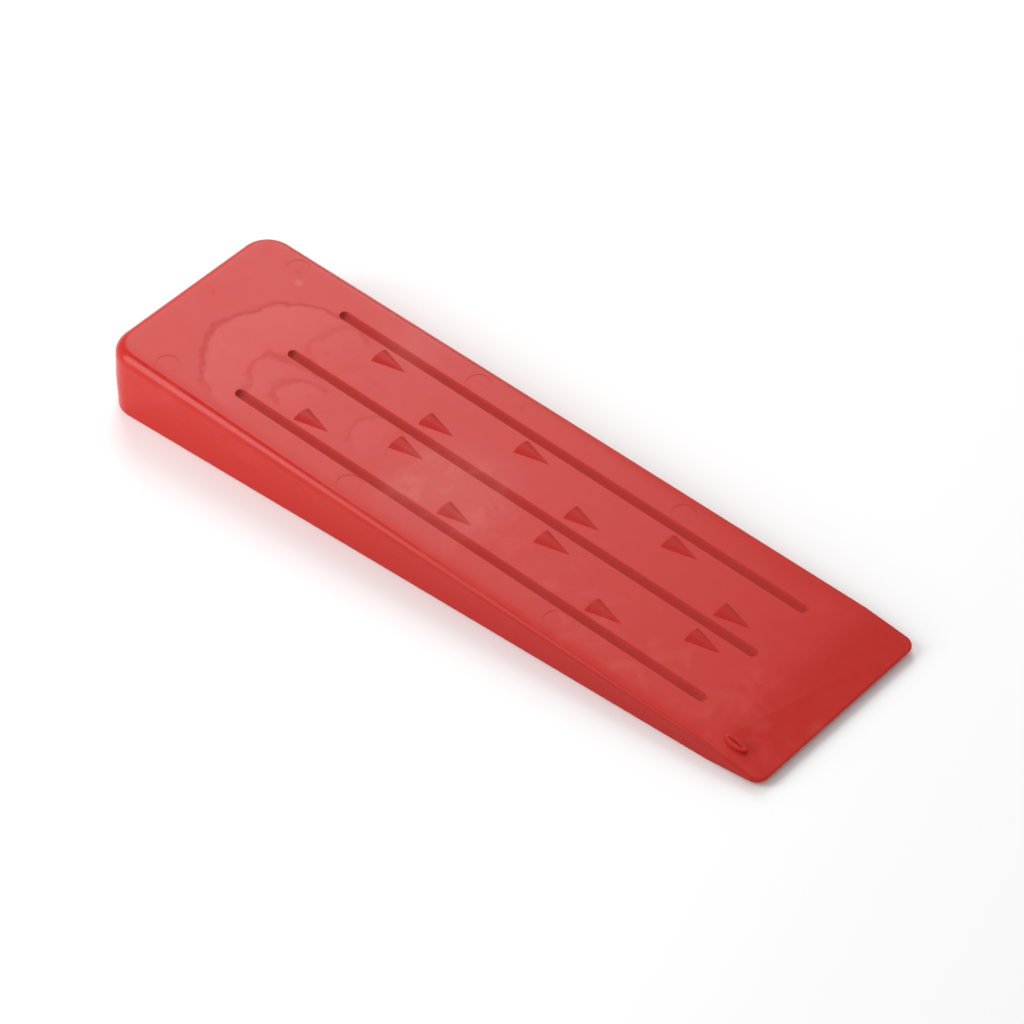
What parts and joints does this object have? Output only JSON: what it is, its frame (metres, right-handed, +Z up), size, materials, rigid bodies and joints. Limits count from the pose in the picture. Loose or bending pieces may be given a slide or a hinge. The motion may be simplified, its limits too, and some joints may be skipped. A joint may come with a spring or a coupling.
{
  "type": "felling wedge",
  "caption": "Solid red plastic felling wedge: a long taper with rounded corners, a bevelled nose, grooves along both faces and raised triangular barbs on the upper face.",
  "frame": {"origin": "centre of the bounding box on the plane of the flat underside", "axes": "+X along the wedge from the butt to the thin nose, +Y across the width, +Z up from the underside to the barbed face"},
  "size_m": [0.23, 0.066, 0.0218],
  "materials": {
    "body": "satin injection-moulded red plastic with soft cloudy flow marks"
  },
  "bodies": {
    "root": {"wedge_body": "body"}
  },
  "joints": []
}
